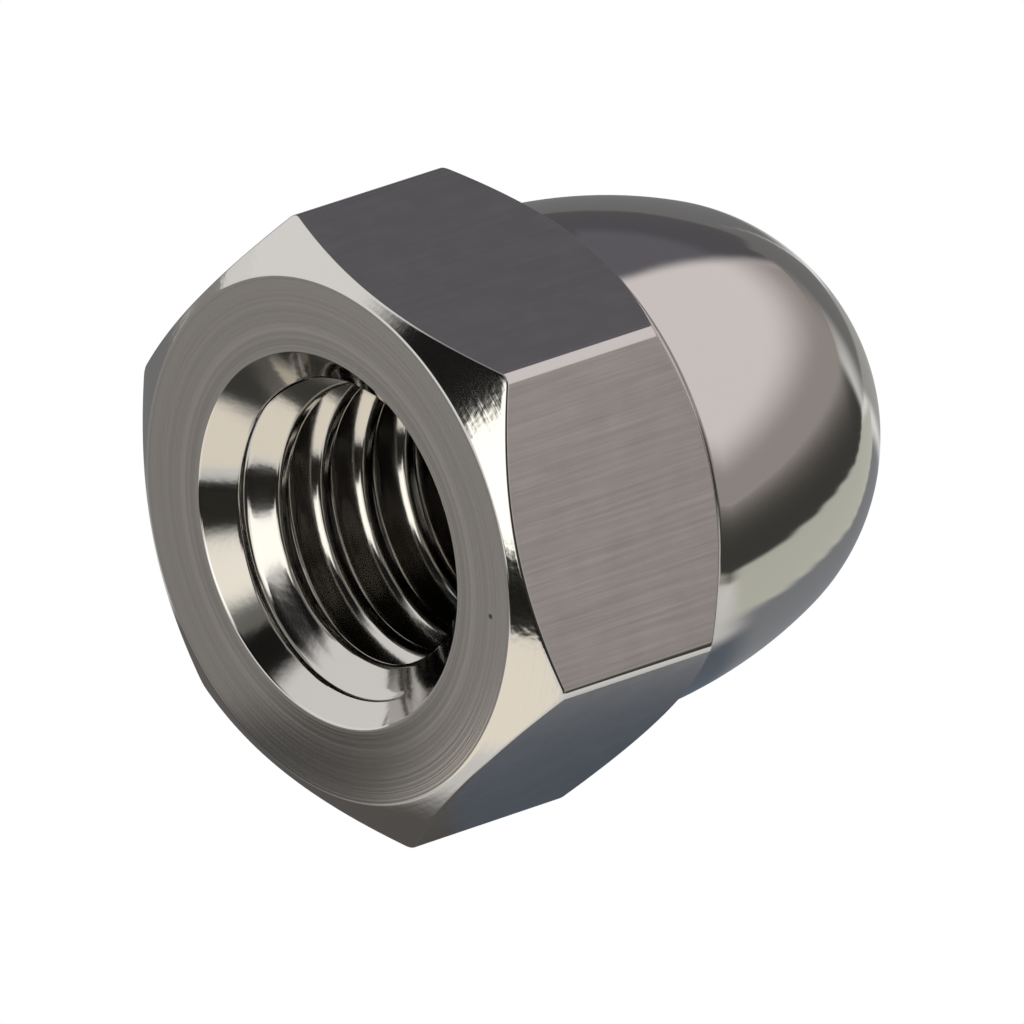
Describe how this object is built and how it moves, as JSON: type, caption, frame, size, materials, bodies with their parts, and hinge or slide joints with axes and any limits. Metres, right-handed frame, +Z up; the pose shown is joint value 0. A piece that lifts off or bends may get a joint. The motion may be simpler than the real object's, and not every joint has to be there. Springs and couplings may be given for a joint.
{
  "type": "cap nut",
  "caption": "Domed cap nut: a chamfered hexagon with a countersunk blind threaded hole at one end and a smooth closed dome that covers the bolt's tip at the other.",
  "frame": {"origin": "centre of the bearing face, on the thread axis", "axes": "+Z up, as the nut comes to rest on a table, on the back edge of its lower flat and on its dome; the thread axis lies over the Y axis, with the dome towards +Y and dipping 12.6 degrees below level; +X across two corners of the hexagon"},
  "size_m": [0.0114, 0.0125, 0.0108],
  "materials": {
    "bright_steel": "bright turned steel, nickel coloured: satin flats with fine drawing lines, faint turning rings on the bearing face and a polished dome"
  },
  "bodies": {
    "root": {"cap_nut": "bright_steel"}
  },
  "joints": []
}
